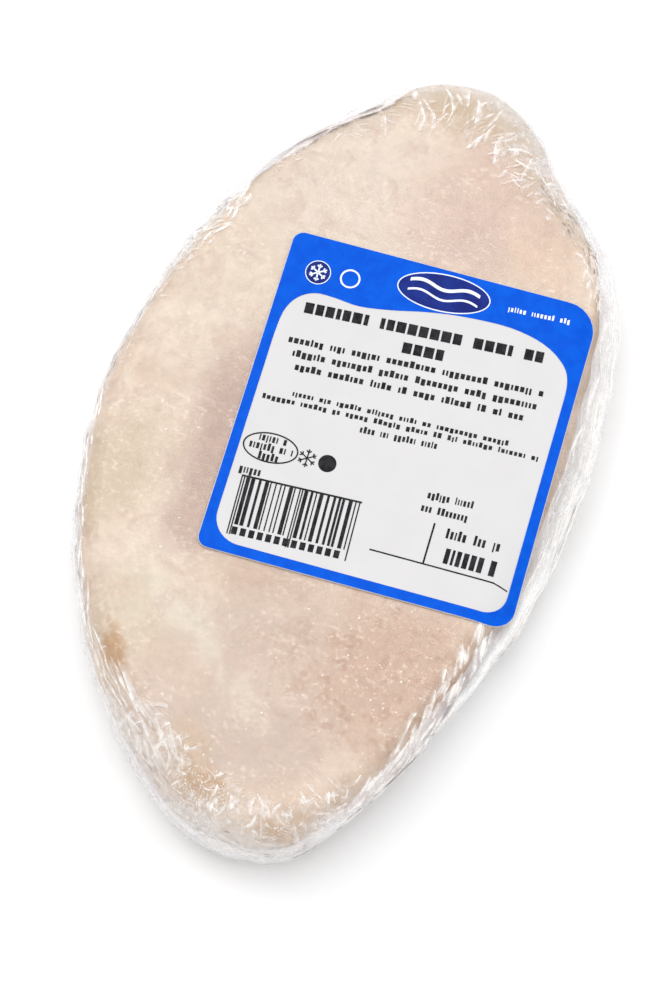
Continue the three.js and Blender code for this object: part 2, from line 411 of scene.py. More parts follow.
steak = {
    "columns": 480,
    "underFilm": 0.25,  # mm from the film down to the top cut face
    "underSide": 0.13,  # mm, the least from the film in to the skin
    "square": 4.2,  # power of the section's corners: higher is squarer
    # mm from film to skin, by degrees round the rim
    "looseness": [(0, 4.6), (25, 4.6), (45, 3.6), (58, 2.2), (74, 0.4), (97, 0.5), (103, 1.3), (110, 1.2),
                  (114, 1.0), (118, 1.4), (122, 2.1), (127, 1.8), (132, 0.9), (138, 0.4), (180, 0.3),
                  (240, 0.5), (275, 0.9), (290, 1.2), (312, 2.0), (326, 3.0), (350, 4.4)],
    "relief": 0.07,  # mm of unevenness on the cut face
    "skinRelief": 0.30,
    # how far up the side the skin reaches, in degrees above its middle
    "skinTop": [(0, 34), (50, 30), (70, 12), (94, 16), (100, 50), (118, 50), (136, 40), (150, 22), (230, 18),
                (250, 8), (284, 10), (292, 36), (330, 38)],
    "lineWide": 2.6,  # degrees, of the dark line along the skin's upper edge
    # painted shade: how much darker the cut face is painted where it slopes away beyond the flat top
    "slopeShade": [(0, 0.2), (52, 0.4), (64, 0.9), (84, 1.0), (100, 0.8), (110, 0.6), (134, 0.6), (142, 0.9),
              (152, 0.8), (160, 0.3), (225, 0.2), (240, 0.3), (262, 0.4), (282, 0.3), (292, 0.1), (330, 0.1)],
    # the colour of the painted shade on the slope
    "slopeShadeColour": (0.510, 0.390, 0.270),
    "cream": (0.670, 0.545, 0.440),
    "beige": (0.565, 0.430, 0.330),
    "rose": (0.500, 0.345, 0.275),
    "milk": (0.785, 0.690, 0.590),
    "mottle": [(3.6, 0.23), (1.5, 0.22), (0.6, 0.24)],  # mm, and how strongly it lightens and darkens
    "rings": 30,  # in the cut face, so that its relief is even
    "silver": (0.840, 0.765, 0.740),
    "silverDark": (0.560, 0.480, 0.445),
    "darkLine": (0.130, 0.090, 0.065),
    "fleck": (0.860, 0.790, 0.720),
    # how strongly the skin shows as a thin dark line at the edge of the cut face
    "line": [(60, 0.2), (96, 0.3), (101, 1.0), (114, 1.0), (118, 0.45), (134, 0.4), (142, 0.1), (160, 0.25),
             (180, 0.5), (200, 0.15), (240, 0.25), (262, 0.1), (276, 0.4), (284, 0.4), (290, 0.3), (302, 0.3),
             (309, 0.15), (322, 0.15), (335, 0.0)],
    "wander": (7.0, 9.0),  # mm: the size of the waves in the fields' edges, and how far they go
    "fieldDeep": 30.0,  # mm that the fields reach down
    "fieldCore": 0.25,  # share of a field that is full
    # soft fields on the cut face: where, how far they reach, their turn in degrees, colour and strength
    "fields": [
        ((-12, 48), (30, 28), 20, (0.645, 0.54, 0.451), 0.85),
        ((-28, 20), (18, 26), 0, (0.621, 0.516, 0.413), 0.6),
        ((14, 54), (20, 30), -25, (0.566, 0.414, 0.338), 0.9),
        ((13, 45), (10, 9), 0, (0.531, 0.39, 0.333), 0.6),
        ((27, 46), (14, 8), -30, (0.624, 0.453, 0.343), 0.65),
        ((-20, -7), (11, 33), -3, (0.406, 0.28, 0.228), 0.95),
        ((-19, -24), (12, 10), 0, (0.435, 0.304, 0.237), 0.7),
        ((-37, -18), (12, 22), -10, (0.52, 0.415, 0.294), 0.7),
        ((22, -42), (28, 24), 25, (0.487, 0.324, 0.236), 0.92),
        ((-2, -31), (16, 7), 8, (0.458, 0.314, 0.233), 0.65),
        ((-4, -42), (24, 12), 20, (0.477, 0.362, 0.29), 0.7),
        ((-2, -60), (26, 15), 30, (0.482, 0.372, 0.304), 0.8),
        ((7, -62), (18, 9), 25, (0.478, 0.361, 0.294), 0.6),
        ((-18, -60), (11, 10), 0, (0.516, 0.396, 0.328), 0.7),
        ((-26, -42), (11, 14), 10, (0.563, 0.478, 0.356), 0.75),
        ((-15, -43.5), (21, 4.4), -38, (0.63, 0.569, 0.461), 0.55),
        ((0, -55), (9, 4.0), -60, (0.634, 0.536, 0.439), 0.6),
        ((31, -52), (8, 9), 0, (0.585, 0.478, 0.386), 0.6),
        ((-27, -52), (3.8, 7), 25, (0.43, 0.25, 0.12), 0.85),
        ((-8, -65), (6, 8), -15, (0.477, 0.338, 0.223), 0.7),
        ((-4.5, -71.5), (8.5, 5.0), -16, (0.45, 0.268, 0.14), 0.9),
        ((11, -75), (9, 3.8), 5, (0.53, 0.35, 0.225), 0.9),
        ((22, -69), (9, 3.6), 40, (0.507, 0.341, 0.236), 0.65),
        ((4, 71), (18, 7), -10, (0.487, 0.366, 0.251), 0.8),
    ],
    # small darker red patches, where the flesh is tan
    "patches": ((19, -43), (27, 26), 0, (0.41, 0.245, 0.17), 0.7),
}


def steakMaterial():
    material, tree, shader = newMaterial("frozen_hake")
    place = placeInMm(tree)
    drift = noiseAt(tree, place, 9.0)
    cloud = noiseAt(tree, place, 16.0, detail=4.0, rough=0.62, warp=0.6)
    colour = mixColours(tree, ramp(tree, cloud, 0.36, 0.64), steak["beige"], steak["cream"])
    # the soft fields, with edges that wander
    size, far = steak["wander"]
    wander = addNode(tree, "TexNoise", {"Vector": place, "Scale": 1 / size, "Detail": 3.0})["Color"]
    wander = scaled(tree, vectorMaths(tree, "SUBTRACT", wander, (0.5, 0.5, 0.5)), far)
    wandered = vectorMaths(tree, "ADD", place, wander)

    def fieldAt(at, reach, turn):
        inputs = {"Place": wandered, "Centre": (*at, packHigh[2]), "Reach": (*reach, steak["fieldDeep"]),
                  "Turn": math.radians(-turn), "Core": steak["fieldCore"]}
        return groupMask(tree, field, inputs)

    for at, reach, turn, tint, strength in steak["fields"]:
        colour = mixColours(tree, times(tree, fieldAt(at, reach, turn), strength), colour, tint)
    at, reach, turn, tint, strength = steak["patches"]
    reddish = ramp(tree, noiseAt(tree, place, 2.8, detail=5.0, rough=0.64, warp=0.8), 0.51, 0.62)
    reddish = times(tree, times(tree, reddish, fieldAt(at, reach, turn)), strength)
    colour = mixColours(tree, reddish, colour, tint)
    # rosy clouds, then small creamy flakes and short pale strokes that lie one way
    rosy = ramp(tree, noiseAt(tree, place, 4.8, detail=5.0, rough=0.6, warp=0.8), 0.50, 0.66, high=0.40)
    colour = mixColours(tree, rosy, colour, steak["rose"])
    leant = {"Vector": place, "Rotation": (0, 0, 0.5), "Scale": (1.0, 1.5, 1.0)}
    grainwise = addNode(tree, "Mapping", leant)[0]
    flaky = ramp(tree, noiseAt(tree, grainwise, 1.5, detail=4.0, rough=0.66), 0.53, 0.62)
    gathered = ramp(tree, drift, 0.42, 0.58, low=0.10, high=0.36)
    colour = mixColours(tree, times(tree, flaky, gathered), colour, steak["milk"])
    stroke = groupMask(tree, strokes, {"Place": grainwise, "Size": 2.2, "Thin": 0.012})
    partly = ramp(tree, noiseAt(tree, place, 1.1), 0.54, 0.60, high=0.42)
    colour = mixColours(tree, times(tree, stroke, partly), colour, steak["fleck"])
    # mottling at three sizes
    light = 1.0
    for size, strength in steak["mottle"]:
        cloud = maths(tree, "SUBTRACT", noiseAt(tree, place, size, detail=3.0, rough=0.55, warp=0.3), 0.5)
        light = plus(tree, times(tree, cloud, strength), light)
    colour = scaled(tree, colour, light)
    # frost specks, mostly towards the rim
    rimwards = attribute(tree, "rimwards")
    share = ramp(tree, times(tree, rimwards, drift), 0.20, 0.60, low=0.03, high=0.42)
    speck = groupMask(tree, flecks, {"Place": wandered, "Cell": 1.3, "Speck": 0.16, "Share": share})
    fine = groupMask(tree, flecks, {"Place": place, "Cell": 0.8, "Speck": 0.22, "Share": share})
    white = times(tree, maths(tree, "MAXIMUM", speck, times(tree, fine, 0.6)), 0.50)
    colour = mixColours(tree, white, colour, steak["fleck"])
    # painted shade: the cut face is painted darker, in blotches, where it slopes away beyond the flat top
    slopeShade = attribute(tree, "slopeShade")
    blotchy = ramp(tree, noiseAt(tree, place, 4.2, detail=4.0, rough=0.6, warp=0.5), 0.34, 0.60, low=0.2)
    colour = mixColours(tree, times(tree, slopeShade, blotchy), colour, steak["slopeShadeColour"])
    # silvery skin round the side, darker in patches and along its upper edge
    skin = attribute(tree, "skin")
    line = attribute(tree, "line")
    patchy = ramp(tree, noiseAt(tree, place, 2.6, detail=4.0, rough=0.6), 0.52, 0.74)
    hide = mixColours(tree, patchy, steak["silver"], steak["silverDark"])
    ragged = plus(tree, skin, times(tree, maths(tree, "SUBTRACT", drift, 0.5), 0.5))
    colour = mixColours(tree, ramp(tree, ragged, 0.42, 0.62), colour, hide)
    broken = ramp(tree, noiseAt(tree, place, 1.5, detail=3.0), 0.36, 0.60)
    colour = mixColours(tree, times(tree, line, broken), colour, steak["darkLine"])
    tree.links.new(colour, shader.inputs["Base Color"])
    grain = noiseAt(tree, place, 1.1, detail=3.0, rough=0.6)
    tree.links.new(ramp(tree, grain, 0.3, 0.7, low=0.42, high=0.62), shader.inputs["Roughness"])
    tree.links.new(bumpFrom(tree, grain, 0.2, 0.12), shader.inputs["Normal"])
    return material


# rings of points inside the rim, at shares of the way out
def ringsInside(anchors, shares, heights):
    rings = np.zeros((len(anchors), len(shares), 3))
    rings[:, :, :2] = anchors[:, None] * shares[None, :, None]
    rings[:, :, 2] = heights
    return rings


# points round the side, at distances along the rays of each section
def sidePoints(anchors, inward, far):
    tilts = pack["tilts"][None, :]
    side = np.zeros((*far.shape, 3))
    side[:, :, :2] = anchors[:, None] - inward[:, None] * (far * np.cos(tilts))[:, :, None]
    side[:, :, 2] = pack["level"] + far * np.sin(tilts)
    return side


def addSteak():
    columns, under = steak["columns"], steak["underFilm"]
    anchors, inward, _, degrees = roundRim(columns)
    cover = resample(pack["far"], columns)
    tilts = pack["tilts"][None, :]
    # a squarish section between the cut faces and the skin, kept inside the film
    wide = form["inset"] - column(steak["looseness"], degrees)
    tall = pack["level"] - under
    power = steak["square"]
    section = (np.abs(np.cos(tilts) / wide) ** power + np.abs(np.sin(tilts) / tall) ** power) ** (-1 / power)
    far = np.minimum(section, cover - np.maximum(steak["underSide"], under * np.sin(tilts) ** 2))
    shares = np.linspace(0.04, 0.975, steak["rings"])
    heights = resample(pack["heights"], columns) - under
    upper = ringsInside(anchors, shares, [np.interp(shares, form["shares"], row) for row in heights])
    lower = ringsInside(anchors, shares[::-1], under)
    points = np.concatenate([upper, sidePoints(anchors, inward, far), lower], 1)
    rings = points.shape[1]
    # how much of each point is skin: none on the cut faces, all on the side
    faceOn = np.full(len(shares), 99.0)
    above = np.concatenate([faceOn, np.degrees(pack["tilts"]), -faceOn])
    skinTop = column(steak["skinTop"], degrees)
    skin = np.clip((skinTop + 6 - above[None, :]) / 12, 0, 1) * np.clip((above[None, :] + 62) / 12, 0, 1)
    flat = points.reshape(-1, 3)
    bumps = np.array([noise.noise(Vector(p) / 4.0) + 0.6 * noise.noise(Vector(p) / 1.7) for p in flat])
    amount = (steak["relief"] + (steak["skinRelief"] - steak["relief"]) * skin).ravel()
    flat[:, 2] += bumps * amount * (1 - skin.ravel())
    outward = np.repeat(-inward, rings, 0)
    flat[:, :2] -= outward * (np.abs(bumps) * amount * skin.ravel() * 0.4)[:, None]
    caps = [(0, 0, pack["middle"] - under), (0, 0, under)]
    piece = addPiece("steak", np.vstack([flat, caps]), gridFaces(columns, rings), steakMaterial(),
                     "wrapped_steak")
    addGridValues(piece, "skin", skin)
    # the dark line is a narrow peak where the cut face turns into the side
    thin = np.exp(-((above[None, :] - skinTop) / steak["lineWide"]) ** 2)
    addGridValues(piece, "line", column(steak["line"], degrees) * thin)
    inset = form["inset"] - far * np.cos(tilts)
    none = np.zeros((columns, len(shares)))
    addGridValues(piece, "rimwards", np.concatenate([none, 1 - inset / form["inset"], none], 1))
    # painted shade on the face that slopes away beyond the flat top's edge
    beyond = np.clip((column(form["flatEdge"], degrees) - inset) / 1.8 + 0.5, 0, 1)
    beyond = np.concatenate([none, beyond, none], 1)
    addGridValues(piece, "slopeShade", beyond * column(steak["slopeShade"], degrees))
    return piece


# the label's place, which the film lies flat under
labelSheet = {
    "wide": 60.0,
    "long": 66.0,
    "turn": 0.9,  # degrees
    "radiusLeft": 2.2,
    "radiusUpper": 6.0,
    "radiusLower": 4.2,
    "thick": 0.11,
    "cell": 0.9,  # mm between points inside the sheet
    "sink": 0.72,  # mm from the solid label's top down to the film
    "smoothings": 10,
    "lift": 0.06,  # mm off the film
}
labelMiddle = sum(np.array(corner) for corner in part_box("label"))[:2] / 2 / mm


def cosSin(degrees):
    return math.cos(math.radians(degrees)), math.sin(math.radians(degrees))


def onLabel(x, y):
    # from the pack's axes to the label's own, with its middle at the origin
    c, s = cosSin(labelSheet["turn"])
    dx, dy = x - labelMiddle[0], y - labelMiddle[1]
    return dx * c + dy * s, dy * c - dx * s


def fromLabel(u, v):
    c, s = cosSin(labelSheet["turn"])
    return labelMiddle[0] + u * c - v * s, labelMiddle[1] + u * s + v * c


def offLabel(x, y):
    # mm beyond the label's edge, less than 0 on the label
    u, v = onLabel(x, y)
    return np.maximum(np.abs(u) - labelSheet["wide"] / 2, np.abs(v) - labelSheet["long"] / 2)


# the film; its tables give a value by degrees round the rim
film = {
    "columns": 900,
    # mm that the crinkles run into the flat top in places
    "tongue": [(0, 1.6), (50, 2.6), (104, 2.6), (114, 0.6), (136, 2.6), (156, 0.8), (238, 0.6), (250, 2.4),
               (284, 2.6), (294, 0.8), (330, 0.8)],
    # ovals where the film lies clear on the fish: where, and how far they reach
    "clear": [((-5.0, -72.0), (6.0, 3.2)), ((10.5, -75.6), (7.0, 2.2)), ((-27.0, -52.0), (3.5, 6.0)),
              ((4.0, 71.0), (9.0, 4.0))],
    "clearness": 0.85,
    "pleats": 130,
    "pleatHigh": (0.10, 0.42),
    "pleatWide": (0.7, 2.0),  # half a pleat's width at its foot
    "pleatFrom": (-3.5, 1.5),  # mm down from the flat top's edge
    "pleatTo": (9, 19),
    "pleatSlant": 0.7,  # mm along the rim for each mm down
    "pleatBend": 1.2,
    "crestWide": 0.45,
    "crumpleCell": 3.4,  # mm
    "crumpleHigh": 0.20,
    "fineCell": 1.5,
    "fineHigh": 0.07,
    "cellLong": 2.1,  # how much longer the cells are down the side than along it
    "cellEdge": 0.35,  # share of a cell that the ridges on its border take
    "slack": 0.25,  # mm of slow waves
    "seed": 52,
    # the white of the streaks and creases is partly whitened, doubled film and partly a painted highlight
    "white": 0.68,  # how opaque the streaks and creases are
    "creaseWhiteAndGlint": 0.16,
    "whitest": (0.97, 0.965, 0.97),
    # the grey of the painted shade on the film
    "shadedGrey": (0.70, 0.685, 0.705),
    "roughness": 0.14,
    "mirror": (0.022, 0.50),  # how opaque clear film is face on, and what is added edge on
    # painted shade: how white the film is painted, by degrees round the rim; lower values paint it greyer,
    # most on the upper left
    "shadeTone": [(0, 1.0), (45, 1.0), (62, 0.80), (98, 0.80), (103, 0.50), (126, 0.50), (134, 0.9), (180, 0.9),
             (225, 0.9), (250, 1.0), (335, 1.0)],
    # mm down from the flat top's edge where the veil begins, and over how many it grows
    "veilFrom": [(0, 1.0), (97, 1.0), (100, 5.0), (104, 3.6), (108, 2.8), (114, 3.0), (118, 1.4),
                 (128, -0.4), (134, -1.0), (145, -0.6), (232, -0.4), (250, 1.0), (286, 1.0), (292, 5.0),
                 (303, 4.6), (310, 1.0)],
    "veilOver": [(0, 5.0), (98, 5.0), (101, 1.0), (128, 1.6), (134, 2.2), (232, 2.4), (245, 5.0), (285, 5.0),
                 (292, 3.0), (335, 2.6), (350, 5.0)],
    # mm down where the veil gives way to clearer film, and over how many
    "veilEnds": [(0, 14), (45, 11), (60, 9), (98, 8), (130, 7), (232, 8), (258, 11), (275, 14), (345, 14)],
    "veilFades": 3.0,
    # how far pleats cross the rim, streaks that run with it, a net of creases, and a milky veil on the side
    "pleated": [(0, 0.3), (45, 0.3), (60, 0.6), (80, 0.7), (100, 0.5), (108, 0.1), (132, 0.1), (142, 0.5),
                (156, 0.2), (240, 0.15), (254, 0.6), (280, 0.7), (290, 1.0), (325, 0.9), (338, 0.3)],
    "streak": [(0, 0.7), (40, 0.7), (55, 0.5), (72, 0.3), (100, 0.3), (120, 0.4), (150, 0.9), (170, 1.0),
               (240, 0.8), (256, 0.4), (272, 0.2), (292, 0.2), (320, 0.4), (338, 0.7)],
    "net": [(0, 0.10), (42, 0.2), (56, 0.9), (72, 0.9), (85, 0.6), (104, 0.5), (114, 0.1), (130, 0.2),
            (138, 0.9), (150, 0.7), (160, 0.3), (175, 0.2), (215, 0.3), (245, 0.45), (256, 0.7), (284, 0.7),
            (300, 0.20), (330, 0.15)],
    "veil": [(0, 0.66), (45, 0.56), (70, 0.26), (98, 0.28), (103, 0.84), (126, 0.80), (134, 0.50),
             (150, 0.40), (165, 0.44), (224, 0.46), (242, 0.24), (270, 0.40), (288, 0.50), (303, 0.50),
             (310, 0.82), (330, 0.84), (345, 0.74)],
}


steakPiece = addSteak()
print("steak made: %d faces" % len(steakPiece.data.polygons))


def filmBase():
    columns = film["columns"]
    anchors, inward, rim, degrees = roundRim(columns)
    shares = np.array(form["shares"])
    top = ringsInside(anchors, shares, resample(pack["heights"], columns))
    side = sidePoints(anchors, inward, resample(pack["far"], columns))
    bottom = ringsInside(anchors, shares[::-2], 0.0)
    grid = np.concatenate([top, side, bottom], 1)
    grid[:, :, 2] = np.maximum(grid[:, :, 2], 0.0)
    return grid, inward, rim, degrees


def gridNormals(grid):
    along = np.roll(grid, -1, 0) - np.roll(grid, 1, 0)
    down = np.gradient(grid, axis=1)
    normals = np.cross(down, along)
    return normals / np.maximum(np.linalg.norm(normals, axis=2), 1e-9)[:, :, None]


# distance down each section, 0 where the flat top ends
def downFrom(grid, inward, rim, degrees):
    steps = np.linalg.norm(np.diff(grid, axis=1), axis=2)
    down = np.concatenate([np.zeros((len(grid), 1)), np.cumsum(steps, 1)], 1)
    inset = np.einsum("ijk,ik->ij", grid[:, :, :2] - rim[:, None], inward)
    edge = stations(form["flatEdge"], degrees)
    widest = inset.argmin(1)
    for i in range(len(grid)):
        upper = slice(0, widest[i] + 1)
        down[i] -= np.interp(-edge[i], -inset[i, upper], down[i, upper])
    return down


def crumple(grid, down, cell, slant):
    # ridges along the borders of stretched cells, from 0 to 1
    around = pack["around"]
    places = np.arange(len(grid)) / len(grid) * around
    radius = around / (2 * math.pi)
    turn = (places[:, None] + slant * down) / radius
    x, y = np.cos(turn) * radius / cell, np.sin(turn) * radius / cell
    z = down / (cell * film["cellLong"])
    ridges = np.zeros(down.shape)
    for i in range(down.shape[0]):
        for k in range(down.shape[1]):
            if -8 < down[i, k] < 30:
                near = noise.voronoi(Vector((x[i, k], y[i, k], z[i, k])))[0]
                ridges[i, k] = max(0.0, 1 - (near[1] - near[0]) / film["cellEdge"])
    return ridges


def pleatField(down, random):
    # tapering folds that run over the rim, each with its own slant and bend
    columns = len(down)
    around = pack["around"]
    places = np.arange(columns)[:, None] / columns * around
    height = np.zeros(down.shape)
    crest = np.zeros(down.shape)
    for i in range(film["pleats"]):
        middle = (i + random.uniform(0.0, 0.9)) / film["pleats"] * around
        start, end = random.uniform(*film["pleatFrom"]), random.uniform(*film["pleatTo"])
        slant = random.uniform(-film["pleatSlant"], film["pleatSlant"])
        bend = random.uniform(-film["pleatBend"], film["pleatBend"])
        wide, high = random.uniform(*film["pleatWide"]), random.uniform(*film["pleatHigh"])
        share = np.clip((down - start) / (end - start), 0, 1)
        line = middle + slant * (down - start) + bend * np.sin(math.pi * share)
        half = wide * (0.12 + 0.88 * np.minimum(share / 0.55, 1))
        away = (places - line + around / 2) % around - around / 2
        profile = np.clip(1 - np.abs(away / half), 0, 1) * np.sin(math.pi * share) ** 0.5
        height = np.maximum(height, high * profile)
        near = np.clip(1 - np.abs(away) / film["crestWide"], 0, 1)
        crest = np.maximum(crest, near * (share > 0) * (share < 1))
    return height, crest


def filmMaterial():
    material, tree, shader = newMaterial("clear_film")
    names = ("crinkle", "band", "streak", "net", "veil", "shadeTone")
    crinkle, band, streak, net, veil, shadeTone = [attribute(tree, name) for name in names]
    along = attribute(tree, "alongRim", "Vector")
    bent = attribute(tree, "bentPlace", "Vector")
    # long soft streaks that run with the rim
    cloud = noiseAt(tree, along, 0.9, detail=3.0, rough=0.65)
    wisps = groupMask(tree, strokes, {"Place": along, "Size": 0.8, "Thin": 0.055})
    streaks = maths(tree, "MAXIMUM", wisps, ramp(tree, cloud, 0.44, 0.70, high=0.6))
    # a net of small creases, with blots where the film is doubled; the creases' white is partly whitened film
    # and partly a painted highlight
    creases = groupMask(tree, strokes, {"Place": bent, "Size": 1.9, "Thin": 0.045})
    fine = groupMask(tree, strokes, {"Place": bent, "Size": 0.9, "Thin": 0.050})
    blots = ramp(tree, noiseAt(tree, bent, 1.5, detail=3.0, rough=0.62), 0.50, 0.64, high=0.6)
    mesh = maths(tree, "MAXIMUM", maths(tree, "MAXIMUM", creases, times(tree, fine, 0.5)), blots)
    lines = maths(tree, "MAXIMUM", times(tree, streaks, streak), times(tree, mesh, net))
    # white lines and crinkles: partly whitened film, partly painted highlights
    white = plus(tree, times(tree, lines, film["white"]), times(tree, crinkle, film["creaseWhiteAndGlint"]))
    white = plus(tree, times(tree, white, band), veil, clamp=True)
    # white film covers; clear film only mirrors, and most where it is seen edge on
    facing = addNode(tree, "LayerWeight", {"Blend": 0.5})["Facing"]
    least, edgeOn = film["mirror"]
    mirror = plus(tree, times(tree, maths(tree, "POWER", facing, 4.0), edgeOn), least)
    alpha = plus(tree, white, mirror, clamp=True)
    tree.links.new(alpha, shader.inputs["Alpha"])
    metal = maths(tree, "SUBTRACT", 1.0, maths(tree, "DIVIDE", white, alpha), clamp=True)
    tree.links.new(metal, shader.inputs["Metallic"])
    tree.links.new(bumpFrom(tree, times(tree, lines, band), 0.8, 0.20), shader.inputs["Normal"])
    # the base colour carries the painted shade: greyer where the shade tone is low
    tree.links.new(mixColours(tree, shadeTone, film["shadedGrey"], film["whitest"]), shader.inputs["Base Color"])
    shader.inputs["Roughness"].default_value = film["roughness"]
    return material


def cloudOver(grid, size):
    return np.array([[noise.noise(Vector(p) / size) for p in row] for row in grid])


def makeFilm():
    random = np.random.default_rng(film["seed"])
    grid, inward, rim, degrees = filmBase()
    down = downFrom(grid, inward, rim, degrees)
    normals = gridNormals(grid)
    around = pack["around"]
    places = np.arange(len(grid)) / len(grid) * around
    # the crinkled band: it starts at the edge of the flat top, in tongues, and fades under the pack
    tongues = np.array([noise.noise(Vector((s / 4.5, 7.3, 0))) + 0.5 * noise.noise(Vector((s / 1.9, 2.1, 0)))
                        for s in places])
    tongues += (tongues[0] - tongues[-1]) * places / around
    start = -(stations(film["tongue"], degrees) * np.clip(0.35 + tongues, 0, 1))[:, None]
    band = np.clip((down - start + 1.0) / 2.4, 0, 1)
    belly = np.clip((grid[:, :, 2] - 0.6) / 2.5, 0, 1)
    band *= np.where(down > 8, 0.25 + 0.75 * belly, 1)
    # pressed flat under the label
    beyond = offLabel(grid[:, :, 0], grid[:, :, 1])
    pressed = np.where(grid[:, :, 2] > packHigh[2] * 0.6, np.clip(1 - (beyond - 0.2) / 1.2, 0, 1), 0)
    band *= 1 - 0.97 * pressed
    pleats, crest = pleatField(down, random)
    pleated = column(film["pleated"], degrees)
    pleats *= 0.35 + 0.65 * pleated
    crest *= pleated
    # the gathers come in patches
    patches = np.clip(0.5 + 1.3 * cloudOver(grid, 5.5), 0.08, 1)
    coarse = crumple(grid, down, film["crumpleCell"], 0.45)
    fine = crumple(grid, down, film["fineCell"], -0.5)
    raised = pleats + coarse * film["crumpleHigh"] + fine * film["fineHigh"]
    raised *= band * (0.3 + 0.7 * patches) * (0.4 + 0.6 * column(film["net"], degrees))
    slack = cloudOver(grid, 7.0) * film["slack"]
    grid = grid + normals * (raised + slack * band)[:, :, None]
    grid[:, :, 2] = np.maximum(grid[:, :, 2], 0.0)
    columns, rings = down.shape
    caps = [(0, 0, pack["middle"]), (0, 0, 0)]
    piece = addPiece("film", np.vstack([grid.reshape(-1, 3), caps]), gridFaces(columns, rings),
                     filmMaterial(), "wrapped_steak")
    piece.visible_shadow = False  # clear film lets the light through
    # a place along the rim and down from its edge, drawn out so that streaks come long and thin
    radius = around / (2 * math.pi) * 0.14
    turn = places[:, None] / around * 2 * math.pi + np.zeros_like(down)
    along = np.stack([np.cos(turn) * radius, np.sin(turn) * radius, down], 2)
    shifts = [[noise.noise_vector(Vector(p) / 2.2) * 1.5 + noise.noise_vector(Vector(p) / 0.9) * 0.4
               for p in row] for row in grid]
    for name, vectors in (("alongRim", along), ("bentPlace", grid + np.array(shifts))):
        addValues(piece, name, np.vstack([vectors.reshape(-1, 3), np.zeros((2, 3))]), "FLOAT_VECTOR")
    # the veil grows down the side and gives way lower down
    side = np.clip((down - column(film["veilFrom"], degrees)) / column(film["veilOver"], degrees), 0, 1)
    lower = np.clip((down - column(film["veilEnds"], degrees)) / film["veilFades"], 0, 1)
    side *= 1 - lower * (1.0 - 0.5 * patches)
    cloudy = np.ones_like(down)
    for at, reach in film["clear"]:
        away = [(grid[:, :, k] - at[k]) / reach[k] for k in (0, 1)]
        cloudy *= 1 - film["clearness"] * np.exp(-(away[0] ** 2 + away[1] ** 2))
    for name, share in (("streak", patches), ("net", patches), ("veil", side)):
        addGridValues(piece, name, column(film[name], degrees) * share * cloudy)
    # crinkle marks along the crests: partly whitened film, partly a painted highlight
    marks = np.clip(crest * 0.8 + coarse ** 3 * 0.7 + fine ** 3 * 0.4, 0, 1)
    addGridValues(piece, "crinkle", marks * cloudy)
    addGridValues(piece, "band", band)
    # painted shade by degrees round the rim, with white caps
    addGridValues(piece, "shadeTone", np.repeat(stations(film["shadeTone"], degrees), rings), 1.0)
    return piece, {"grid": smoothRound(grid, 3), "down": down, "degrees": degrees}


filmPiece, filmForm = makeFilm()
print("film made: %d faces" % len(filmPiece.data.polygons))


# a point of the film, and the way out from it, at a place round the rim and a distance down
def filmPoint(place, down):
    grid, downs = filmForm["grid"], filmForm["down"]
    columns, rings = downs.shape
    at = place / pack["around"] * columns
    i, share = int(math.floor(at)), at - math.floor(at)
    found = []
    for column in (i % columns, (i + 1) % columns):
        k = float(np.interp(down, downs[column], np.arange(rings)))
        low = min(int(k), rings - 2)
        found.append(grid[column, low] * (low + 1 - k) + grid[column, low + 1] * (k - low))
    return found[0] * (1 - share) + found[1] * share
